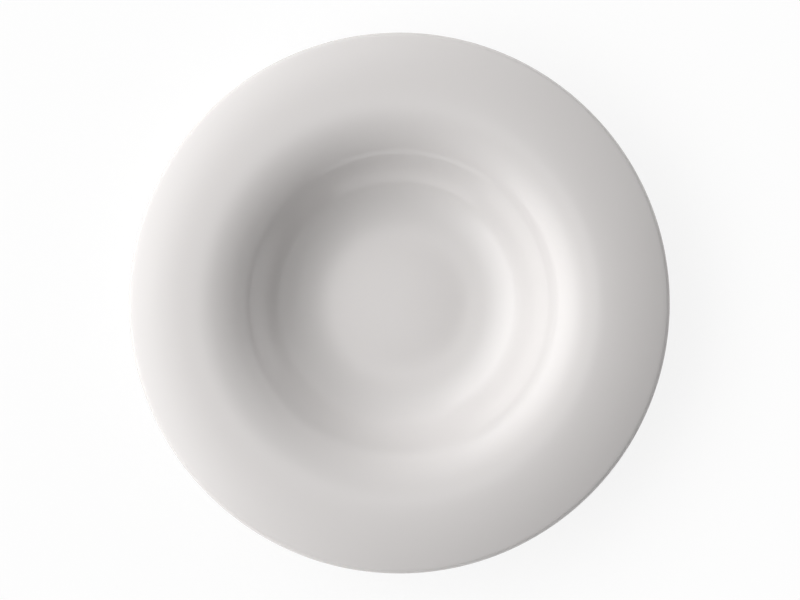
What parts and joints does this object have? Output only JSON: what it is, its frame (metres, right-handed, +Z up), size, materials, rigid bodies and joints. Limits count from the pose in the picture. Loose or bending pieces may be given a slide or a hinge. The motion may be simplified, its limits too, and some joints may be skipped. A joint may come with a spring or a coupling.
{
  "type": "pasta plate",
  "caption": "Round deep pasta plate of glazed white porcelain, with a wide domed rim rolling into a flared well, on a low foot ring left bare where it stands.",
  "frame": {"origin": "centre of the foot ring, on the table that the plate stands on", "axes": "+Z up along the plate's axis of turning; the plate is round, so +X and +Y are any two directions across it"},
  "size_m": [0.3, 0.3, 0.0449],
  "materials": {
    "porcelain": "fired bare, matt and fine-grained",
    "glaze": "clear glossy glaze over white porcelain"
  },
  "bodies": {
    "root": {"porcelain_body": "porcelain", "glaze_coat": "glaze", "base_glaze": "glaze"}
  },
  "joints": []
}
